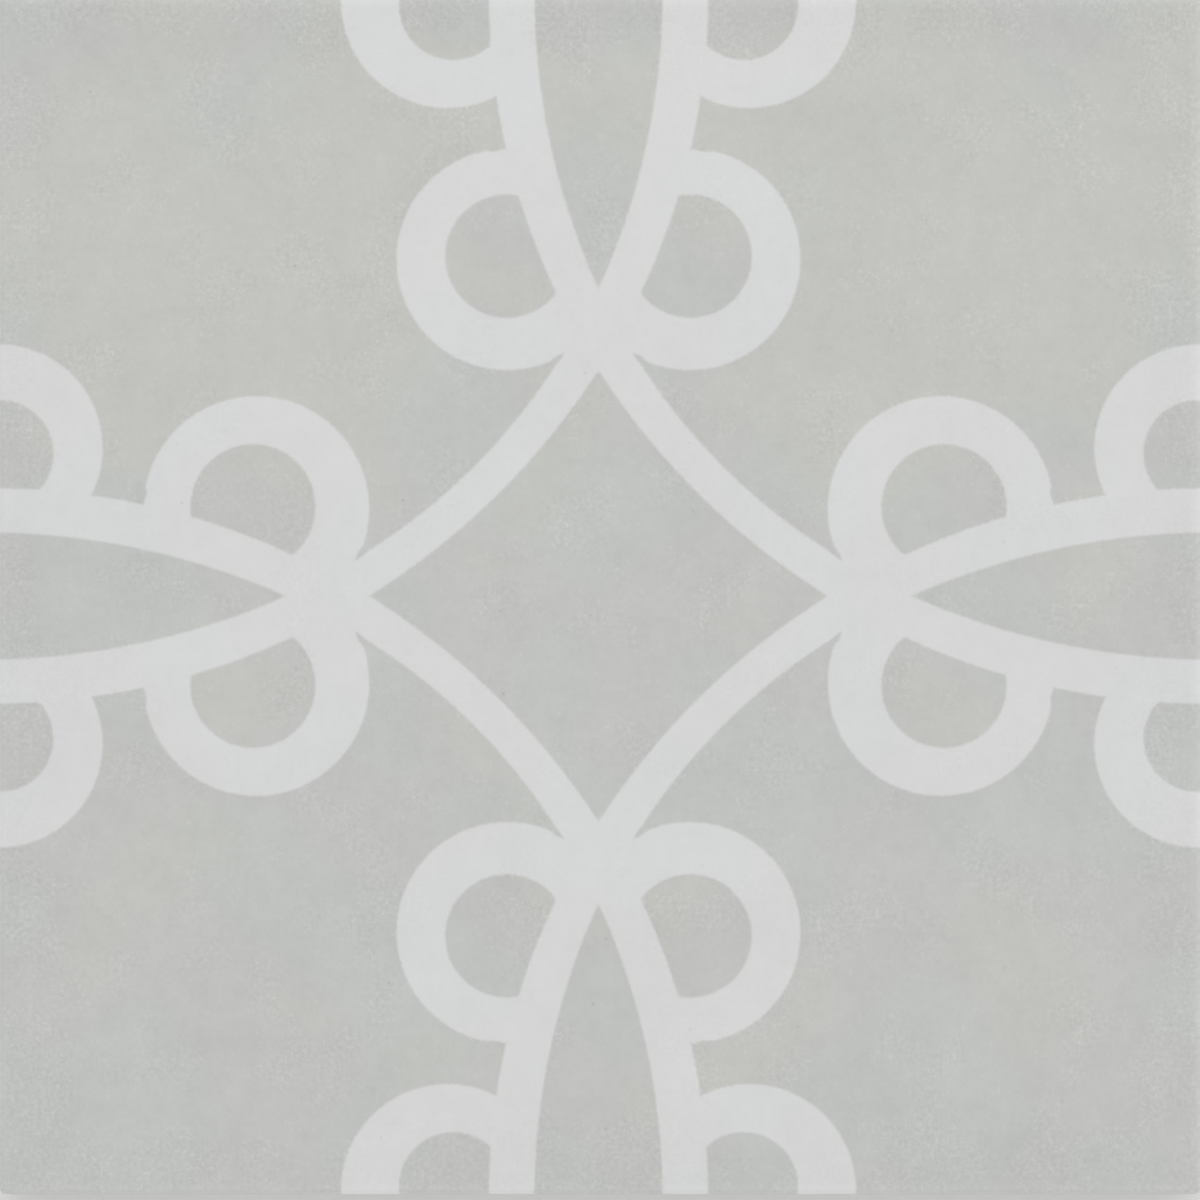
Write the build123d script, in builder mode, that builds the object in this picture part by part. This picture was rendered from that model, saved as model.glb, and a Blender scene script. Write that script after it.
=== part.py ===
"""Pressed porcelain floor tile, 200 mm square, lying face up on its keyed back.

The tile is one fired piece. Its sides are widest just below the face, where the grout
joint is measured, and draw in towards the back. The back carries a lattice of low ribs
with shallow drafted pockets between them, which key the tile into its adhesive bed.

The origin is the middle of the back, on the plane of the ribs. +Z points out of the face.
"""

import math
import os

from build123d import *

# Driving dimensions, in millimetres and degrees
face_side = 200.0  # across the upright land of the sides, the tile's largest width
thickness = 9.0  # from the plane of the ribs to the face
arris_radius = 1.0  # rounded edge between the face and the sides
corner_ease = 0.1  # how much rounder than the arris the four corners are, seen from above
land_height = 3.0  # upright part of each side, below the arris
side_draw_in = 0.8  # how far each side draws in between the land and the back
back_chamfer = 0.5  # bevel round the back

back_margin = 7.0  # plain border of the back, at least this wide
cell_pitch = 13.0  # middle of one rib to the middle of the next
rib_width = 3.0  # flat top of a rib
pocket_depth = 0.8  # height of the ribs above the pocket floors
pocket_draft = 35.0  # slope of the pocket walls away from upright

# What follows from them
corner_radius = arris_radius + corner_ease
land_bottom = thickness - arris_radius - land_height
back_side = face_side - 2 * side_draw_in
rib_plane_side = back_side - 2 * back_chamfer
back_corner_radius = max(corner_radius - side_draw_in, corner_radius / 2)
rib_field = rib_plane_side - 2 * back_margin
half_row_cells = math.floor((rib_field + rib_width) / (2 * cell_pitch))
row_cells = 2 * half_row_cells  # an even count, so that two ribs cross in the middle
pocket_mouth = cell_pitch - rib_width

# The pressed body: an upright land over sides that draw in towards a bevelled back
with BuildPart() as floor_tile:
    with BuildSketch() as back_outline:
        RectangleRounded(rib_plane_side, rib_plane_side, back_corner_radius)
    with BuildSketch(Plane.XY.offset(back_chamfer)) as bevel_outline:
        RectangleRounded(back_side, back_side, back_corner_radius)
    with BuildSketch(Plane.XY.offset(land_bottom)) as land_outline:
        RectangleRounded(face_side, face_side, corner_radius)
    loft(ruled=True)
    extrude(land_outline.sketch, amount=thickness - land_bottom)

    # The arris: the edge round the face is rounded
    face_edges = floor_tile.faces().sort_by(Axis.Z)[-1].edges()
    fillet(face_edges, radius=arris_radius)

    # The keyed back: drafted pockets on a square grid leave the lattice of ribs
    with BuildSketch() as pocket_mouths:
        with GridLocations(cell_pitch, cell_pitch, row_cells, row_cells):
            Rectangle(pocket_mouth, pocket_mouth)
    extrude(amount=pocket_depth, taper=pocket_draft, mode=Mode.SUBTRACT)

floor_tile.part.label = "floor_tile"

os.makedirs("parts", exist_ok=True)
export_step(floor_tile.part, "parts/floor_tile.step")
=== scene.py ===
"""Portrait of a printed porcelain floor tile, lying face up and seen from straight above.

The tile is pressed in one piece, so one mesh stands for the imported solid. It is shaped from
its back upwards: rib lattice, bevel, drawn-in sides, upright land, rounded arris and face.
One finish covers it. It is matt printed glaze on the face and bare porcelain on the sides
and the back.
"""

import logging
import math
from collections.abc import Callable, Iterator
from contextlib import contextmanager
from dataclasses import dataclass
from enum import Enum

import bpy
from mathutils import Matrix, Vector


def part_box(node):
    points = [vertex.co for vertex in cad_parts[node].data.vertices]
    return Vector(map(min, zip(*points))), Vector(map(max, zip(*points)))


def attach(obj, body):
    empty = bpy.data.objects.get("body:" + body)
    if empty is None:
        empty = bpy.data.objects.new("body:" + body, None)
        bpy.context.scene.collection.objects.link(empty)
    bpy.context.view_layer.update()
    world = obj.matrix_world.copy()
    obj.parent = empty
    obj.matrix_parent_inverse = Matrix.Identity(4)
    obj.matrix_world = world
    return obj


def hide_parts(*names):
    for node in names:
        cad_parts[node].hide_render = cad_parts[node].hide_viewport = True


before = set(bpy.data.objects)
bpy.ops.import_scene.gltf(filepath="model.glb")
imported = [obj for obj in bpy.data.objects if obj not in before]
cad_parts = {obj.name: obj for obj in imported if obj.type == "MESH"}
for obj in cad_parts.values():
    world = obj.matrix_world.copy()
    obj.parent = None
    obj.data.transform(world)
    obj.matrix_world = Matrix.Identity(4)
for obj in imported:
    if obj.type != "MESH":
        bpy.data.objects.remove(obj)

LOG = logging.getLogger("floor_tile")
MM = 0.001
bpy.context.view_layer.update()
Colour = tuple[float, float, float]
Span = tuple[float, float]


def linear(red: float, green: float, blue: float) -> Colour:
    """Turn screen levels from 0 to 255 into a linear colour.

    Args:
        red: Level of red.
        green: Level of green.
        blue: Level of blue.

    Returns:
        The colour in the linear units that shaders use.
    """
    low_end, offset, slope, power = 0.04045, 0.055, 12.92, 2.4
    shares = (level / 255 for level in (red, green, blue))
    return tuple(
        share / slope if share <= low_end else ((share + offset) / (1 + offset)) ** power
        for share in shares
    )


class Pick(Enum):
    """Kinds of mesh element that a modelling step works on."""

    EDGES = (False, True, False)
    FACES = (False, False, True)


class Spread(Enum):
    """Ways in which a pattern fills space."""

    FLAT = "2D"
    SOLID = "3D"


@dataclass(frozen=True)
class Noise:
    """A fractal pattern.

    Attributes:
        grain: Size of its largest features, in millimetres.
        detail: How many sets of finer features it has.
        roughness: Strength of each finer set beside the last.
        spread: Whether it is flat or goes through the body.
    """

    grain: float
    detail: float = 0.0
    roughness: float = 0.5
    spread: Spread = Spread.FLAT


def clear_selection() -> None:
    """Leave edit mode and deselect every object."""
    if bpy.context.mode != "OBJECT":
        bpy.ops.object.mode_set(mode="OBJECT")
    bpy.ops.object.select_all(action="DESELECT")


@contextmanager
def editing(piece: bpy.types.Object, pick: Pick) -> Iterator[None]:
    """Open one piece in edit mode and close it again.

    Args:
        piece: The object to edit.
        pick: The kind of element that stays selected.

    Returns:
        A context in which mesh operators act on the piece.
    """
    clear_selection()
    piece.select_set(True)
    bpy.context.view_layer.objects.active = piece
    bpy.context.tool_settings.mesh_select_mode = pick.value
    bpy.ops.object.mode_set(mode="EDIT")
    yield
    bpy.ops.object.mode_set(mode="OBJECT")


def round_edges(piece: bpy.types.Object, chosen: set[int], radius: float, segments: int) -> None:
    """Round some edges of a piece.

    Args:
        piece: The object whose edges are rounded.
        chosen: Numbers of those edges.
        radius: How far the rounding reaches from an edge.
        segments: How many faces lie across it.
    """
    mesh = piece.data
    for elements in (mesh.vertices, mesh.polygons):
        elements.foreach_set("select", [False] * len(elements))
    mesh.edges.foreach_set("select", [edge.index in chosen for edge in mesh.edges])
    with editing(piece, Pick.EDGES):
        bpy.ops.mesh.bevel(offset=radius, segments=segments, affect="EDGES")


def edges_between(
    piece: bpy.types.Object,
    one: Callable[[bpy.types.MeshPolygon], bool],
    other: Callable[[bpy.types.MeshPolygon], bool],
) -> set[int]:
    """Find the edges where two kinds of face meet.

    Args:
        piece: The object to search.
        one: Test that the face on one side of the edge passes.
        other: Test that the face on the other side passes.

    Returns:
        The numbers of those edges.
    """
    mesh = piece.data
    beside_one: set[int] = set()
    beside_other: set[int] = set()
    edge_of = {edge.key: edge.index for edge in mesh.edges}
    for polygon in mesh.polygons:
        edges = {edge_of[key] for key in polygon.edge_keys}
        if one(polygon):
            beside_one |= edges
        if other(polygon):
            beside_other |= edges
    return beside_one & beside_other


class Link:
    """A node's output socket, with the operators that shader maths needs."""

    def __init__(self, graph: "Graph", node: bpy.types.Node, output: str | int = 0) -> None:
        """Hold one output of a node of the graph."""
        self.graph = graph
        self.node = node
        self.socket = node.outputs[output]

    def also(self, output: str) -> "Link":
        """Return another output of the same node."""
        return Link(self.graph, self.node, output)

    def math(self, operation: str, *values: "Link | float", clamp: bool = False) -> "Link":
        """Add a Math node with this link as its first value."""
        sockets = dict(enumerate((self, *values)))
        settings = {"operation": operation, "use_clamp": clamp}
        return self.graph.add("ShaderNodeMath", settings, sockets)

    def __add__(self, other: "Link | float") -> "Link":
        """Add a value."""
        return self.math("ADD", other)

    def __radd__(self, other: float) -> "Link":
        """Add this to a number."""
        return self.math("ADD", other)

    def __sub__(self, other: "Link | float") -> "Link":
        """Take a value away."""
        return self.math("SUBTRACT", other)

    def __rsub__(self, other: float) -> "Link":
        """Take this from a number."""
        return self.math("MULTIPLY_ADD", -1.0, other)

    def __mul__(self, other: "Link | float") -> "Link":
        """Multiply by a value."""
        return self.math("MULTIPLY", other)

    def __rmul__(self, other: float) -> "Link":
        """Multiply a number by this."""
        return self.math("MULTIPLY", other)

    def __truediv__(self, other: "Link | float") -> "Link":
        """Divide by a value."""
        return self.math("DIVIDE", other)

    def __neg__(self) -> "Link":
        """Turn the sign round."""
        return self.math("MULTIPLY", -1.0)

    def __abs__(self) -> "Link":
        """Drop the sign."""
        return self.math("ABSOLUTE")

    def least(self, other: "Link | float") -> "Link":
        """Take the smaller of two values."""
        return self.math("MINIMUM", other)

    def most(self, other: "Link | float") -> "Link":
        """Take the larger of two values."""
        return self.math("MAXIMUM", other)

    def softly_least(self, other: "Link | float", rounding: float) -> "Link":
        """Take the smaller of two values, with the crease between them rounded."""
        return self.math("SMOOTH_MIN", other, rounding)

    def within_one(self) -> "Link":
        """Keep the value between 0 and 1."""
        return self.math("ADD", 0.0, clamp=True)

    def ramp(self, start: float, end: float) -> "Link":
        """Pass smoothly from 0 at start to 1 at end.

        Args:
            start: Value at which the result is 0.
            end: Value at which the result is 1, above or below start.

        Returns:
            The eased value.
        """
        rising = start < end
        sockets = {
            "Value": self,
            "From Min": min(start, end),
            "From Max": max(start, end),
            "To Min": 0.0 if rising else 1.0,
            "To Max": 1.0 if rising else 0.0,
        }
        return self.graph.add("ShaderNodeMapRange", {"interpolation_type": "SMOOTHSTEP"}, sockets)


class Graph:
    """The node tree of one material, with the places its patterns are drawn on."""

    # Numbers of the sockets that a Mix node has for colours
    MIX_FACTOR, MIX_FIRST, MIX_SECOND, MIX_RESULT = 0, 6, 7, 2
    LACUNARITY = 2.13
    NOISE_MIDDLE = 0.5
    IOR = 1.5

    def __init__(self, name: str) -> None:
        """Start an empty tree on a new material."""
        self.material = bpy.data.materials.new(name)
        self.material.use_nodes = True
        self.material.node_tree.nodes.clear()

    def add(
        self,
        kind: str,
        settings: dict[str, object] | None = None,
        sockets: dict[str | int, object] | None = None,
        output: str | int = 0,
    ) -> Link | None:
        """Add a node.

        Args:
            kind: The node's type name.
            settings: Attributes of the node, set first.
            sockets: Values or links of its input sockets, by name or number.
            output: The output to return.

        Returns:
            A link from that output, or nothing for the material's output node.
        """
        node = self.material.node_tree.nodes.new(kind)
        for name, value in (settings or {}).items():
            setattr(node, name, value)
        for key, value in (sockets or {}).items():
            if isinstance(value, Link):
                self.material.node_tree.links.new(value.socket, node.inputs[key])
            else:
                node.inputs[key].default_value = value
        return Link(self, node, output) if node.outputs else None

    def place(self, shift: tuple[float, float] = (0.0, 0.0)) -> Link:
        """Read the place on the piece, in millimetres.

        Args:
            shift: How far the pattern's middle lies from the piece's, in millimetres.

        Returns:
            The place from the pattern's middle.
        """
        metres = self.add("ShaderNodeTexCoord", output="Object")
        sockets = {0: metres, 1: (1 / MM, 1 / MM, 1 / MM), 2: (-shift[0], -shift[1], 0.0)}
        return self.add("ShaderNodeVectorMath", {"operation": "MULTIPLY_ADD"}, sockets)

    def noise(self, place: Link, noise: Noise) -> Link:
        """Draw a fractal pattern that swings about zero, from about -0.5 to 0.5."""
        return self._noise_node(place, noise) - self.NOISE_MIDDLE

    def hues(self, place: Link, noise: Noise) -> Link:
        """Draw three fractal patterns from 0 to 1, as the outputs Red, Green and Blue."""
        colours = self._noise_node(place, noise).also("Color")
        return self.add("ShaderNodeSeparateColor", sockets={0: colours})

    def _noise_node(self, place: Link, noise: Noise) -> Link:
        """Add the node of a fractal pattern.

        Args:
            place: Coordinates in millimetres.
            noise: The pattern.

        Returns:
            The pattern, from 0 to 1.
        """
        sockets = {
            "Vector": place,
            "Scale": 1 / noise.grain,
            "Detail": noise.detail,
            "Roughness": noise.roughness,
            "Lacunarity": self.LACUNARITY,
        }
        return self.add("ShaderNodeTexNoise", {"noise_dimensions": noise.spread.value}, sockets, "Fac")

    def mix(self, share: Link, first: Link | Colour, second: Link | Colour) -> Link:
        """Blend two colours.

        Args:
            share: How much of the second colour shows.
            first: Colour where the share is 0.
            second: Colour where the share is 1.

        Returns:
            The blended colour.
        """
        first, second = (
            colour if isinstance(colour, Link) else (*colour, 1.0) for colour in (first, second)
        )
        sockets = {self.MIX_FACTOR: share, self.MIX_FIRST: first, self.MIX_SECOND: second}
        return self.add("ShaderNodeMix", {"data_type": "RGBA"}, sockets, self.MIX_RESULT)

    def shade(self, colour: Link, strength: Link) -> Link:
        """Make a colour lighter or darker by a factor that varies."""
        return self.add("ShaderNodeVectorMath", {"operation": "SCALE"}, {0: colour, "Scale": strength})

    def surface(self, colour: Link, roughness: Link, relief: Link) -> Link:
        """Add a shader.

        Args:
            colour: What the surface reflects.
            roughness: How matt it is.
            relief: Height of its fine relief, in millimetres.

        Returns:
            The shader.
        """
        bump = self.add("ShaderNodeBump", sockets={"Strength": 1.0, "Distance": MM, "Height": relief})
        sockets = {"Base Color": colour, "Roughness": roughness, "Normal": bump, "IOR": self.IOR}
        return self.add("ShaderNodeBsdfPrincipled", sockets=sockets)

    def as_material(self, shader: Link) -> bpy.types.Material:
        """Give the material its shader and return it."""
        self.add("ShaderNodeOutputMaterial", sockets={0: shader})
        return self.material


@dataclass(frozen=True)
class Circle:
    """A circle of the ornament, in millimetres from its middle."""

    across: float
    up: float
    radius: float

    def outside(self, graph: Graph, place: Link) -> Link:
        """Measure how far a place lies outside the circle, in millimetres."""
        sockets = {0: place, 1: (self.across, self.up, 0.0)}
        away = graph.add("ShaderNodeVectorMath", {"operation": "DISTANCE"}, sockets, "Value")
        return away - self.radius


@dataclass(frozen=True)
class Ring:
    """A loop of the ornament, between an outer circle and its hole."""

    outer: Circle
    hole: Circle


@dataclass(frozen=True)
class Tail:
    """A band from a crossing to the tile's edge, with the loops that grow from it.

    Attributes:
        lens_side: The band's side towards the tile's middle line.
        loop_side: Its other side, from which the loops grow.
        rings: The loops.
    """

    lens_side: Circle
    loop_side: Circle
    rings: tuple[Ring, ...]

    def distance(self, graph: Graph, place: Link, rounding: float) -> Link:
        """Measure how far a place lies from this tail and its loops.

        Args:
            graph: The material's nodes.
            place: Folded place on the face, in millimetres.
            rounding: Softness of the corners inside the loops, in millimetres.

        Returns:
            The distance in millimetres, below zero on the print.
        """
        past_band = self.loop_side.outside(graph, place)
        nearest = past_band
        for ring in self.rings:
            hole = -ring.hole.outside(graph, place)
            body = hole.softly_least(past_band, rounding).most(ring.outer.outside(graph, place))
            nearest = nearest.least(body)
        return nearest.most(-self.lens_side.outside(graph, place))


@dataclass(frozen=True)
class Ornament:
    """The print: quarter-circle bands about the corners, with loops beside their ends.

    It is the same on both sides of its two middle lines, so it is drawn for one quarter and
    folded. Sizes are in millimetres.

    Attributes:
        corner_side: The side towards the corner of the band between two crossings.
        middle_side: The side of that band towards the middle.
        upright: The tail that runs on to the upper edge.
        level: The tail that runs on to the right edge.
        gap_ends: Where the narrow gaps beside the bands end, and are a little wider open.
        gap_opening: How much wider the gaps are there.
        middle: Where the print's middle lies on the tile.
        fold_rounding: How softly the print folds over at its middle lines.
        hole_rounding: Softness of the corners inside the loops.
        edge_softness: Half the width over which the print fades out.
        edge_waver: The pattern in which its edges waver.
        waver_width: How far they waver.
    """

    corner_side: Circle = Circle(91.55, 92.4, 100.2)
    middle_side: Circle = Circle(102.3, 103.35, 121.6)
    upright: Tail = Tail(
        lens_side=Circle(-107.2, 100.05, 117.85),
        loop_side=Circle(-96.75, 100.0, 115.0),
        rings=(
            Ring(Circle(15.2, 56.0, 18.4), Circle(15.25, 56.55, 10.25)),
            Ring(Circle(25.1, 98.95, 17.75), Circle(24.15, 98.25, 9.05)),
        ),
    )
    level: Tail = Tail(
        lens_side=Circle(102.3, -114.25, 124.85),
        loop_side=Circle(100.65, -99.15, 117.05),
        rings=(
            Ring(Circle(56.95, 14.45, 18.8), Circle(57.5, 14.85, 10.4)),
            Ring(Circle(99.75, 24.6, 17.25), Circle(99.55, 23.7, 8.85)),
        ),
    )
    gap_ends: tuple[Circle, ...] = (
        Circle(40.3, 7.1, 2.2), Circle(7.0, 40.3, 2.0), Circle(75.4, 16.9, 1.8), Circle(17.4, 74.6, 1.8)
    )
    gap_opening: float = 0.4
    middle: tuple[float, float] = (-0.25, -0.4)
    fold_rounding: float = 0.2
    hole_rounding: float = 0.6
    edge_softness: float = 0.34
    edge_waver: Noise = Noise(0.7)
    waver_width: float = 0.16

    def cover(self, graph: Graph) -> Link:
        """Draw the ornament.

        Args:
            graph: The material's nodes.

        Returns:
            1 on the print, 0 on the ground, with soft edges between.
        """
        place = graph.place(self.middle)
        axes = graph.add("ShaderNodeSeparateXYZ", sockets={0: place})
        across, up = (
            (axis * axis + self.fold_rounding**2).math("SQRT") for axis in (axes, axes.also("Y"))
        )
        folded = graph.add("ShaderNodeCombineXYZ", sockets={0: across, 1: up})
        nearest = self.middle_side.outside(graph, folded).most(-self.corner_side.outside(graph, folded))
        for tail in (self.upright, self.level):
            nearest = nearest.least(tail.distance(graph, folded, self.hole_rounding))
        for gap_end in self.gap_ends:
            opening = gap_end.outside(graph, folded).ramp(0.0, -gap_end.radius)
            nearest = nearest + opening * self.gap_opening
        waver = graph.noise(place, self.edge_waver) * self.waver_width
        return (nearest + waver).ramp(self.edge_softness, -self.edge_softness)


@dataclass(frozen=True)
class Pinholes:
    """Small dark pits, scattered thinly over the glaze. Sizes are in millimetres.

    Attributes:
        spacing: Width of a patch of glaze that has one pit or none.
        radius: Radius of the largest pits. The smallest have half of it.
        dark_share: Share of a pit's radius that is fully dark.
        empty_share: Share of the patches that have none.
    """

    spacing: float = 17.0
    radius: float = 0.36
    dark_share: float = 0.45
    empty_share: float = 0.5

    def cover(self, graph: Graph, place: Link) -> Link:
        """Scatter the pits.

        Args:
            graph: The material's nodes.
            place: Place in millimetres.

        Returns:
            The strength of the pits, from 0 where there is none to 1.
        """
        settings = {"voronoi_dimensions": Spread.FLAT.value}
        sockets = {"Vector": place, "Scale": 1 / self.spacing}
        cells = graph.add("ShaderNodeTexVoronoi", settings, sockets)
        chance = graph.add("ShaderNodeSeparateColor", sockets={0: cells.also("Color")})
        size = (chance.also("Green") + 1.0) * (self.radius / 2 / self.spacing)
        return (cells / size).ramp(1.0, self.dark_share) * chance.ramp(self.empty_share, 1.0)


@dataclass(frozen=True)
class PrintedGlaze:
    """Matt grey glaze, a little worn and mottled, with an off-white print.

    Sizes are in millimetres. Depths, lifts and shades are shares of the glaze's brightness. A
    span says where something starts and where it is full.
    """

    ornament: Ornament = Ornament()
    pinholes: Pinholes = Pinholes()
    olive: Colour = linear(187.5, 188.5, 183.4)
    stone: Colour = linear(187.2, 187.4, 184.9)
    cool: Colour = linear(186.0, 188.0, 185.6)
    warm_white: Colour = linear(207.7, 207.6, 207.4)
    cool_white: Colour = linear(207.1, 207.8, 207.9)

    tints: Noise = Noise(27.0)
    tint_change: Span = (0.4, 0.6)
    olive_swing: float = 1.7
    olive_rise: Span = (5.0, 45.0)
    olive_aside: Span = (18.0, 45.0)
    olive_aside_share: float = 0.65
    olive_middle_share: float = 0.3
    olive_border_loss: float = 0.6

    clouds: Noise = Noise(26.0, detail=4.0, roughness=1.0)
    cloud_depth: float = 0.2
    cloud_share_on_print: float = 0.58
    grit: Noise = Noise(0.75, detail=1.0, roughness=0.8)
    grit_depth: float = 0.043
    grit_share_on_print: float = 0.42
    pinhole_shade: float = 0.16

    patches: Noise = Noise(13.0, detail=1.0, roughness=0.7)
    worn_patches: Span = (-0.04, 0.24)
    worn_border: Span = (86.0, 97.0)
    border_wear: float = 0.22
    border_shade: float = 0.012
    head_shade: float = 0.026
    worn_grit_depth: float = 0.17
    scratches: Noise = Noise(2.4, detail=1.0, roughness=0.6)
    scratch_width: float = 0.0389
    scratch_grit: Span = (0.06, 0.22)
    scratch_wear: float = 0.1
    scratch_lift: float = 0.07

    # Painted highlight along the outline, partly glaze that thins there: lighter at every edge and round
    # the rim, weaker on the left.
    thinning_and_highlight_edge: Span = (97.6, 99.8)
    thinning_and_highlight_lift: float = 0.045
    highlight_left_margin: float = 0.5
    # Painted highlight along the upper edge only.
    painted_top_highlight: Span = (97.0, 98.7)
    painted_top_highlight_lift: float = 0.034
    rim: Span = (99.3, 100.0)
    rim_thinning_and_highlight_lift: float = 0.12
    rim_end: Span = (-1.6, -0.8)
    print_end: Span = (-1.7, -0.7)

    grain_middle: tuple[float, float] = (137.3, 71.9)
    grain_lean: tuple[float, float] = (0.8, 0.6)
    roughness: float = 0.6
    cloud_roughness: float = 0.25
    grit_roughness: float = 0.1
    pinhole_roughness: float = 0.2
    relief: Noise = Noise(0.6)
    relief_height: float = 0.014

    def shader(self, graph: Graph, thickness: float) -> Link:
        """Make the glaze's shader.

        Args:
            graph: The material's nodes.
            thickness: Height of the face above the back, in millimetres.

        Returns:
            The shader.
        """
        axes = graph.add("ShaderNodeSeparateXYZ", sockets={0: graph.place()})
        drop = axes.also("Z") - thickness
        place = self._grain_place(graph, drop)
        print_share = self.ornament.cover(graph) * drop.ramp(*self.print_end)
        ground = 1 - print_share
        clouds = graph.noise(place, self.clouds)
        grit = graph.noise(place, self.grit)
        pits = self.pinholes.cover(graph, place)
        reach = abs(axes).most(abs(axes.also("Y")))
        border = reach.ramp(*self.worn_border)
        worn = (graph.noise(place, self.patches) + border * self.border_wear).ramp(*self.worn_patches)

        mottle = clouds * self.cloud_depth * self._less_on_print(ground, self.cloud_share_on_print)
        grit_depth = worn * self.worn_grit_depth + self.grit_depth
        grain = grit * grit_depth * self._less_on_print(ground, self.grit_share_on_print)
        scratches = self._scratches(graph, place, grit, worn) * ground * self.scratch_lift
        # The edge term is partly a painted highlight along the outline.
        light = mottle + grain + scratches + self._edge_thinning_and_highlight(axes, reach, drop)
        head = axes.also("Y").ramp(*self.worn_border) * ground
        dark = border * self.border_shade + head * self.head_shade + pits * self.pinhole_shade

        tint = self._tint(graph, place, axes, border, print_share)
        colour = graph.shade(tint, light - dark + 1.0)
        uneven = clouds * self.cloud_roughness + grit * self.grit_roughness
        roughness = uneven + pits * self.pinhole_roughness + self.roughness
        relief = graph.noise(place, self.relief) * self.relief_height
        return graph.surface(colour, roughness, relief)

    def _grain_place(self, graph: Graph, drop: Link) -> Link:
        """Read the place for grain, which leans so that it runs on down the sides."""
        across, up = self.grain_lean
        lean = graph.add("ShaderNodeCombineXYZ", sockets={0: drop * across, 1: drop * up})
        sockets = {0: graph.place(self.grain_middle), 1: lean}
        return graph.add("ShaderNodeVectorMath", {"operation": "ADD"}, sockets)

    @staticmethod
    def _less_on_print(ground: Link, share: float) -> Link:
        """Pass from 1 on the ground to a smaller share on the print."""
        return ground * (1 - share) + share

    def _scratches(self, graph: Graph, place: Link, grit: Link, worn: Link) -> Link:
        """Draw short light marks, closest together where the glaze is worn."""
        lines = abs(graph.noise(place, self.scratches)).ramp(self.scratch_width, 0.0)
        return lines * (grit + worn * self.scratch_wear).ramp(*self.scratch_grit)

    def _edge_thinning_and_highlight(self, axes: Link, reach: Link, drop: Link) -> Link:
        """Lighten the glaze towards the edges of the face and round its rim.

        This is partly glaze that thins there and partly a painted highlight on the arris, which is
        strongest along the upper edge and weaker on the left.

        Args:
            axes: Place on the tile, in millimetres, split into its axes.
            reach: How far the place lies from the middle, square to the nearest side.
            drop: Height above the face, which is below zero on the sides.

        Returns:
            How much lighter the glaze is.
        """
        up = axes.also("Y")
        # The margin makes the painted highlight weaker on the left side.
        near_edge = axes.most(abs(up)).most(-axes - self.highlight_left_margin)
        thinning_and_highlight = near_edge.ramp(*self.thinning_and_highlight_edge) * self.thinning_and_highlight_lift
        # Painted highlight along the upper edge only.
        painted_top_highlight = up.ramp(*self.painted_top_highlight) * self.painted_top_highlight_lift
        rim = reach.ramp(*self.rim) * drop.ramp(*self.rim_end) * self.rim_thinning_and_highlight_lift
        return thinning_and_highlight + painted_top_highlight + rim

    def _tint(self, graph: Graph, place: Link, axes: Link, border: Link, print_share: Link) -> Link:
        """Colour the ground in soft patches and lay the print over it.

        Args:
            graph: The material's nodes.
            place: Place for grain, in millimetres.
            axes: Place on the tile, in millimetres, split into its axes.
            border: 1 along the tile's edges, 0 further in.
            print_share: 1 on the print, 0 on the ground.

        Returns:
            The colour before any mottling.
        """
        hue = graph.hues(place, self.tints)
        upper = axes.also("Y").ramp(*self.olive_rise)
        aside = abs(axes).ramp(*self.olive_aside)
        olive_share = (
            upper * (aside * self.olive_aside_share + self.olive_middle_share)
            + (hue - graph.NOISE_MIDDLE) * self.olive_swing
            - border * self.olive_border_loss
        )
        grey = graph.mix(hue.also("Green").ramp(*self.tint_change), self.cool, self.stone)
        ground = graph.mix(olive_share.within_one(), grey, self.olive)
        white = graph.mix(hue.also("Blue").ramp(*self.tint_change), self.cool_white, self.warm_white)
        return graph.mix(print_share, ground, white)


@dataclass(frozen=True)
class BareBody:
    """Unglazed porcelain body, with a pale wash on the ribs and in a line below the glaze.

    Sizes are in millimetres. Depths are shares of the body's brightness.
    """

    body: Colour = linear(199.0, 195.0, 187.0)
    wash: Colour = linear(221.0, 219.0, 214.0)
    rib_wash: Span = (0.25, 0.0)
    rib_wash_share: float = 0.5
    rib_wash_swing: float = 2.4
    line_wash: Span = (0.9, 0.25)
    line_wash_share: float = 0.55

    clouds: Noise = Noise(18.0, detail=4.0, roughness=0.65, spread=Spread.SOLID)
    cloud_depth: float = 0.14
    grain: Noise = Noise(0.9, detail=3.0, roughness=0.75, spread=Spread.SOLID)
    grain_depth: float = 0.2
    press_marks: Noise = Noise(1.0, detail=2.0, roughness=0.6, spread=Spread.SOLID)
    press_mark_stretch: tuple[float, float, float] = (1.3, 1.3, 14.0)
    press_mark_depth: float = 0.09
    roughness: float = 0.8
    grain_roughness: float = 0.1
    relief_height: float = 0.05

    def shader(self, graph: Graph, below_glaze: Link) -> Link:
        """Make the bare body's shader.

        Args:
            graph: The material's nodes.
            below_glaze: How far a place lies below the glaze's edge, in millimetres.

        Returns:
            The shader.
        """
        place = graph.place()
        height = graph.add("ShaderNodeSeparateXYZ", sockets={0: place}, output="Z")
        grain = graph.noise(place, self.grain)
        clouds = graph.noise(place, self.clouds)
        sockets = {0: place, 1: self.press_mark_stretch}
        upright = graph.add("ShaderNodeVectorMath", {"operation": "DIVIDE"}, sockets)
        press_marks = graph.noise(upright, self.press_marks)

        patches = (clouds * self.rib_wash_swing + self.rib_wash_share).within_one()
        on_ribs = height.ramp(*self.rib_wash) * patches
        in_line = below_glaze.ramp(*self.line_wash) * self.line_wash_share
        colour = graph.mix(on_ribs.most(in_line), self.body, self.wash)
        mottle = grain * self.grain_depth + clouds * self.cloud_depth
        strength = mottle + press_marks * self.press_mark_depth + 1.0
        roughness = grain * self.grain_roughness + self.roughness
        relief = (grain + press_marks) * self.relief_height
        return graph.surface(graph.shade(colour, strength), roughness, relief)


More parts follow.
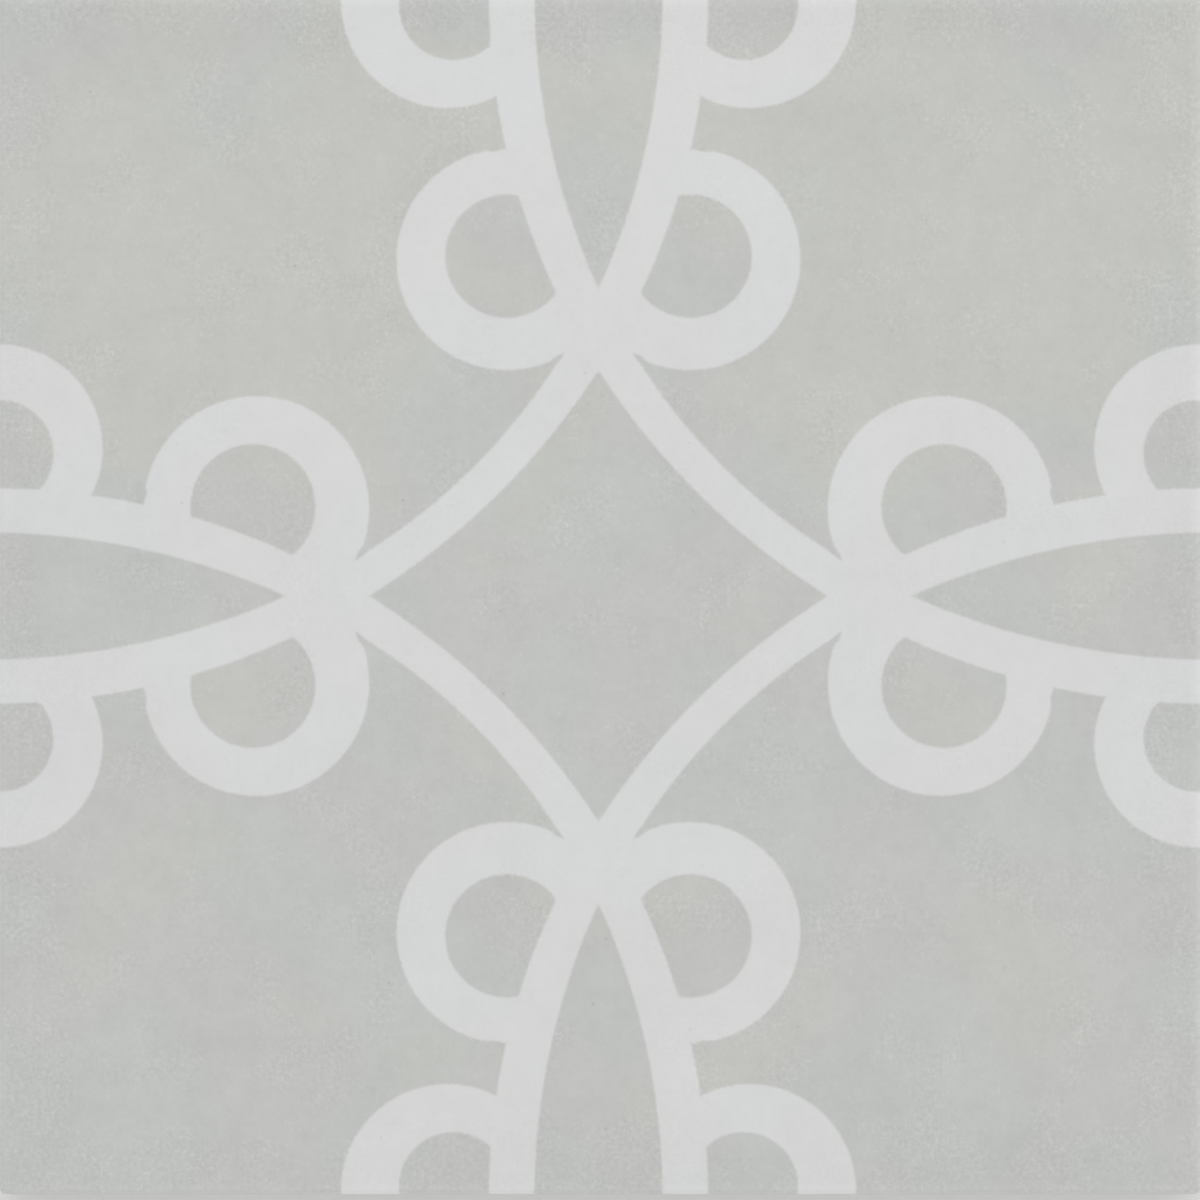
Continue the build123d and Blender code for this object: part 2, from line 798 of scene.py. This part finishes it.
@dataclass(frozen=True)
class PorcelainFinish:
    """What covers the tile: printed glaze that ends on the sides, and the bare body below it.

    The glaze ends some way below the face, along a wavering line. Sizes are in millimetres.
    """

    glaze: PrintedGlaze = PrintedGlaze()
    body: BareBody = BareBody()
    glaze_depth: float = 2.3
    glaze_fade: float = 0.35
    waver: Noise = Noise(7.0, detail=2.0, roughness=0.65)
    waver_height: float = 1.3

    def material(self, thickness: float) -> bpy.types.Material:
        """Make the finish.

        Args:
            thickness: Height of the face above the back, in millimetres.

        Returns:
            The material.
        """
        graph = Graph("printed_porcelain")
        place = graph.place()
        height = graph.add("ShaderNodeSeparateXYZ", sockets={0: place}, output="Z")
        waver = graph.noise(place, self.waver) * self.waver_height
        below_glaze = (thickness - self.glaze_depth) - (height + waver)
        sockets = {
            0: below_glaze.ramp(self.glaze_fade, 0.0),
            1: self.body.shader(graph, below_glaze),
            2: self.glaze.shader(graph, thickness),
        }
        return graph.as_material(graph.add("ShaderNodeMixShader", sockets=sockets))


@dataclass(frozen=True)
class FlatLayout:
    """Where the tile's face, back and sides lie on its flat map, as shares of the map's width.

    The face takes most of the map, because its print is the finest thing on the tile. The back
    lies beside it, and the four sides lie above it in rows.

    Attributes:
        name: Name of the map.
        face_share: Width of the face.
        back_share: Width of the back.
        side_share: Height of each row.
        gap: Space between neighbours.
        flat_normal: How far up or down the normals of the face and the back point, at least.
    """

    name: str = "OFBake"
    face_share: float = 0.835
    back_share: float = 0.15
    side_share: float = 0.0335
    gap: float = 0.005
    flat_normal: float = 0.3

    def lay(self, piece: bpy.types.Object, side: float, thickness: float) -> None:
        """Give a piece the map.

        Args:
            piece: The tile.
            side: Its width.
            thickness: Its height.
        """
        mesh = piece.data
        layer = mesh.uv_layers.new(name=self.name)
        for polygon in mesh.polygons:
            for corner in polygon.loop_indices:
                place = mesh.vertices[mesh.loops[corner].vertex_index].co
                layer.data[corner].uv = self._spot(place, polygon.normal, side, thickness)

    def _spot(self, place: Vector, normal: Vector, side: float, thickness: float) -> tuple[float, float]:
        """Find the spot on the map for one corner of a polygon.

        Args:
            place: Where the corner is on the tile.
            normal: Which way the polygon faces.
            side: The tile's width.
            thickness: The tile's height.

        Returns:
            The spot, from 0 to 1 both ways.
        """
        scale = self.face_share / side
        if normal.z > self.flat_normal:
            return tuple(self.gap + (axis + side / 2) * scale for axis in place.xy)
        if normal.z < -self.flat_normal:
            small = self.back_share / side
            start = self.face_share + 2 * self.gap
            return start + (side / 2 - place.x) * small, self.gap + (place.y + side / 2) * small
        facing_across = abs(normal.x) > abs(normal.y)
        along, facing = (place.y, normal.x) if facing_across else (place.x, normal.y)
        row = 2 * facing_across + (facing > 0)
        level = self.face_share + (row + 2) * self.gap + (row + place.z / thickness) * self.side_share
        return self.gap + (along + side / 2) * scale, level


@dataclass
class PressedTile:
    """The whole tile, shaped from its back upwards. Lengths are in metres, angles in radians.

    Attributes:
        side: Width across the upright land of the sides.
        thickness: From the plane of the ribs to the face.
        level_normal: How far up or down the normal of a level polygon points, at least.
        upright_normal: How far up or down the normal of an upright polygon points, at most.
        tolerance: How far off a place may be when it is tested.
    """

    side: float
    thickness: float
    corner_radius: float = 1.1 * MM
    corner_segments: int = 6
    arris_radius: float = 1.0 * MM
    arris_segments: int = 8
    land_height: float = 3.0 * MM
    side_draw_in: float = 0.8 * MM
    back_bevel: float = 0.5 * MM
    cells: int = 14
    cell_pitch: float = 13.0 * MM
    rib_width: float = 3.0 * MM
    pocket_depth: float = 0.8 * MM
    pocket_draft: float = math.radians(35.0)
    rib_rounding: float = 0.15 * MM
    rib_segments: int = 2
    smooth_angle: float = math.radians(38.0)
    level_normal: float = 0.99
    upright_normal: float = 0.01
    tolerance: float = 0.1 * MM
    finish: PorcelainFinish = PorcelainFinish()
    layout: FlatLayout = FlatLayout()

    def build(self) -> bpy.types.Object:
        """Model the tile and dress it.

        Returns:
            The finished piece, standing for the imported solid.
        """
        piece = self._lay_lattice()
        self._press_pockets(piece)
        self._raise_sides(piece)
        self._round_corners(piece)
        self._round_arris(piece)
        self._soften_ribs(piece)
        self._smooth(piece)
        self.layout.lay(piece, self.side, self.thickness)
        piece.data.materials.append(self.finish.material(self.thickness / MM))
        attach(piece, "root")
        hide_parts("floor_tile")
        return piece

    def _lay_lattice(self) -> bpy.types.Object:
        """Lay the grid of cells of the back, facing down."""
        clear_selection()
        bpy.ops.mesh.primitive_grid_add(
            x_subdivisions=self.cells, y_subdivisions=self.cells, size=self.cells * self.cell_pitch
        )
        piece = bpy.context.object
        piece.name = piece.data.name = "printed_tile"
        with editing(piece, Pick.FACES):
            bpy.ops.mesh.select_all(action="SELECT")
            bpy.ops.mesh.flip_normals()
        return piece

    def _press_pockets(self, piece: bpy.types.Object) -> None:
        """Sink a drafted pocket into every cell, which leaves the ribs between them."""
        run = self.pocket_depth * math.tan(self.pocket_draft)
        with editing(piece, Pick.FACES):
            bpy.ops.mesh.select_all(action="SELECT")
            bpy.ops.mesh.inset(thickness=self.rib_width / 2, use_individual=True)
            bpy.ops.mesh.inset(thickness=run, depth=-self.pocket_depth, use_individual=True)

    def _raise_sides(self, piece: bpy.types.Object) -> None:
        """Draw the border out and up to the face, and close the face with a grid."""
        back_side = self.side - 2 * self.side_draw_in
        land_bottom = self.thickness - self.arris_radius - self.land_height
        steps = (
            (back_side - 2 * self.back_bevel, 0.0),
            (back_side, self.back_bevel),
            (self.side, land_bottom),
            (self.side, self.thickness),
        )
        width, level = self.cells * self.cell_pitch, 0.0
        with editing(piece, Pick.EDGES):
            bpy.ops.mesh.select_all(action="DESELECT")
            bpy.ops.mesh.select_non_manifold(
                use_wire=False, use_multi_face=False, use_non_contiguous=False
            )
            for new_width, new_level in steps:
                bpy.ops.mesh.extrude_edges_move(
                    TRANSFORM_OT_translate={"value": (0.0, 0.0, new_level - level)}
                )
                wider = new_width / width
                bpy.ops.transform.resize(value=(wider, wider, 1.0), center_override=(0.0, 0.0, 0.0))
                width, level = new_width, new_level
            bpy.ops.mesh.fill_grid(span=self.cells)
            bpy.ops.mesh.select_all(action="SELECT")
            bpy.ops.mesh.normals_make_consistent(inside=False)

    def _round_corners(self, piece: bpy.types.Object) -> None:
        """Round the four upright corners."""
        mesh = piece.data
        reach = self.side / 2 - self.side_draw_in - self.back_bevel - self.tolerance

        def at_corner(number: int) -> bool:
            """Tell whether a vertex is at a corner of the outline."""
            place = mesh.vertices[number].co
            return min(abs(place.x), abs(place.y)) > reach

        upright = {
            edge.index for edge in mesh.edges if all(at_corner(number) for number in edge.vertices)
        }
        round_edges(piece, upright, self.corner_radius, self.corner_segments)

    def _round_arris(self, piece: bpy.types.Object) -> None:
        """Round the edge between the face and the sides."""

        def is_face(polygon: bpy.types.MeshPolygon) -> bool:
            """Tell whether a polygon is part of the face."""
            return polygon.normal.z > self.level_normal

        def is_land(polygon: bpy.types.MeshPolygon) -> bool:
            """Tell whether a polygon stands upright."""
            return abs(polygon.normal.z) < self.upright_normal

        arris = edges_between(piece, is_face, is_land)
        round_edges(piece, arris, self.arris_radius, self.arris_segments)

    def _soften_ribs(self, piece: bpy.types.Object) -> None:
        """Round the edges of the ribs a little, as the press leaves them."""
        field_reach = self.cells * self.cell_pitch / 2

        def is_rib(polygon: bpy.types.MeshPolygon) -> bool:
            """Tell whether a polygon is on the plane that the tile lies on."""
            return polygon.normal.z < -self.level_normal and polygon.center.z < self.tolerance

        def is_pocket_wall(polygon: bpy.types.MeshPolygon) -> bool:
            """Tell whether a polygon is a sloping wall of a pocket."""
            inside = max(abs(polygon.center.x), abs(polygon.center.y)) < field_reach
            return inside and -self.level_normal < polygon.normal.z < -self.upright_normal

        rib_edges = edges_between(piece, is_rib, is_pocket_wall)
        round_edges(piece, rib_edges, self.rib_rounding, self.rib_segments)

    def _smooth(self, piece: bpy.types.Object) -> None:
        """Smooth the rounded edges and keep the flats flat."""
        clear_selection()
        piece.select_set(True)
        bpy.context.view_layer.objects.active = piece
        bpy.ops.object.shade_smooth_by_angle(angle=self.smooth_angle)
        bpy.ops.object.modifier_add(type="WEIGHTED_NORMAL")
        piece.modifiers[-1].keep_sharp = True
        bpy.ops.object.modifier_apply(modifier=piece.modifiers[-1].name)


@dataclass(frozen=True)
class Softbox:
    """A square soft light that faces the tile. Lengths are in metres, the power in watts."""

    name: str
    place: tuple[float, float, float]
    size: float
    power: float

    def build(self) -> None:
        """Set up the light, out of the camera's sight."""
        clear_selection()
        bpy.ops.object.light_add(type="AREA", location=self.place)
        light = bpy.context.object
        light.name = light.data.name = self.name
        light.data.size = self.size
        light.data.energy = self.power
        light.rotation_euler = Vector(self.place).to_track_quat("Z", "Y").to_euler()
        light.visible_camera = False


@dataclass
class Studio:
    """Pale floor, soft light from all round and the camera above the tile.

    Lengths are in metres, apart from the width of the camera's sensor, in millimetres.
    """

    floor_size: float = 6.0
    floor_colour: Colour = (0.74, 0.74, 0.74)
    floor_roughness: float = 0.9
    floor_clearance: float = 0.02 * MM
    sky_colour: Colour = (1.0, 1.0, 1.0)
    sky_strength: float = 0.922
    lights: tuple[Softbox, ...] = (
        Softbox("top_light", place=(-0.02, 0.75, 0.6), size=0.7, power=1.4),
        Softbox("right_light", place=(3.4, 0.5, 2.2), size=2.8, power=15.0),
    )

    frame_pixels: float = 1200.0
    pixels_per_mm: float = 6.01
    tile_middle_pixel: tuple[float, float] = (600.0, 593.6)
    camera_height: float = 1.2
    sensor: float = 36.0

    def build(self, face_height: float) -> None:
        """Set up the studio.

        Args:
            face_height: Height of the tile's face above the floor.
        """
        self._lay_floor()
        self._light_sky()
        for light in self.lights:
            light.build()
        self._aim_camera(face_height)
        bpy.context.scene.view_settings.view_transform = "Standard"

    def _lay_floor(self) -> None:
        """Lay a plain pale floor under the tile."""
        clear_selection()
        bpy.ops.mesh.primitive_plane_add(size=self.floor_size, location=(0.0, 0.0, -self.floor_clearance))
        floor = bpy.context.object
        floor.name = "studio_floor"
        graph = Graph("studio_floor")
        sockets = {"Base Color": (*self.floor_colour, 1.0), "Roughness": self.floor_roughness}
        shader = graph.add("ShaderNodeBsdfPrincipled", sockets=sockets)
        floor.data.materials.append(graph.as_material(shader))

    def _light_sky(self) -> None:
        """Light the tile evenly from all round."""
        world = bpy.data.worlds.new("studio_sky")
        bpy.context.scene.world = world
        world.use_nodes = True
        sky = world.node_tree.nodes["Background"]
        sky.inputs["Color"].default_value = (*self.sky_colour, 1.0)
        sky.inputs["Strength"].default_value = self.sky_strength

    def _aim_camera(self, face_height: float) -> None:
        """Look straight down, with the tile where the photograph has it.

        Args:
            face_height: Height of the tile's face above the floor.
        """
        middle = self.frame_pixels / 2
        right = (middle - self.tile_middle_pixel[0]) / self.pixels_per_mm * MM
        down = (middle - self.tile_middle_pixel[1]) / self.pixels_per_mm * MM
        place = (right, -down, face_height + self.camera_height)
        bpy.ops.object.camera_add(location=place, rotation=(0.0, 0.0, 0.0))
        camera = bpy.context.object
        camera.name = "camera"
        camera.data.sensor_width = self.sensor
        seen_width = self.frame_pixels / self.pixels_per_mm * MM
        camera.data.lens = self.sensor * self.camera_height / seen_width
        bpy.context.scene.camera = camera


def main() -> None:
    """Build the tile and the studio, and report what was made."""
    logging.basicConfig(level=logging.INFO, format="%(name)s: %(message)s")
    low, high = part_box("floor_tile")
    tile = PressedTile(side=high[0] - low[0], thickness=high[2] - low[2])
    piece = tile.build()
    LOG.info("%s has %d faces", piece.name, len(piece.data.polygons))
    Studio().build(face_height=high[2])
    LOG.info("studio is ready")


if __name__ == "__main__":
    main()
